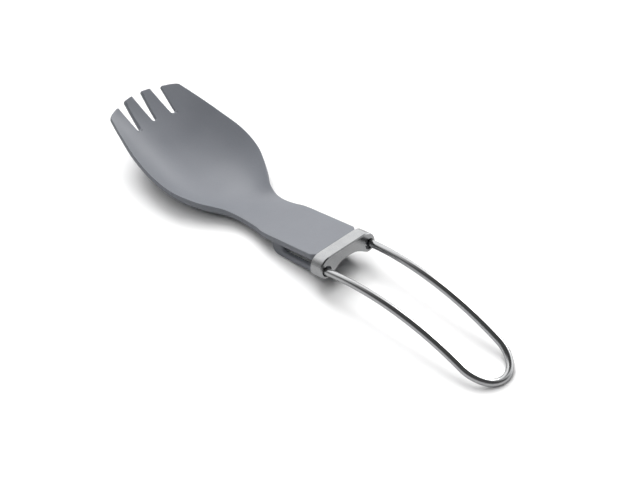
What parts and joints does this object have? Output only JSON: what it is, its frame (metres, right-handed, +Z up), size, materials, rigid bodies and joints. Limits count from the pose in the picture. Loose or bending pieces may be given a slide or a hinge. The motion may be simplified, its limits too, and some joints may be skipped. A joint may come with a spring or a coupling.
{
  "type": "folding spork",
  "caption": "Folding camp spork: a moulded nylon spoon head with short tines, a bent wire handle that folds under it and a sliding steel collar that locks the handle open.",
  "frame": {"origin": "on the table, under the middle of the overall length and width", "axes": "+X runs from the tines to the handle's loop, +Z is up, the bowl opens upward"},
  "size_m": [0.1659, 0.0392, 0.0196],
  "materials": {
    "nylon": "light grey moulded nylon with a fine dull texture",
    "collar_steel": "pressed stainless steel, satin",
    "wire_steel": "round stainless steel wire, bright"
  },
  "bodies": {
    "head": {"head": "nylon"},
    "handle": {"wire_handle": "wire_steel"},
    "collar": {"lock_collar": "collar_steel"}
  },
  "joints": [
    {"name": "handle_fold", "type": "hinge", "parent": "head", "child": "handle", "pos_m": [0.01656, 0, 0.00811], "axis": [0, 1, 0], "range_deg": [0, 165]},
    {"name": "collar_slide", "type": "hinge", "parent": "handle", "child": "collar", "pos_m": [0.03893, 0, -0.08525], "axis": [0, 1, 0], "range_deg": [0, 17]}
  ],
  "couplings": [
    {"joint": "collar_slide", "follows": "handle_fold", "ratio": 0.098}
  ]
}
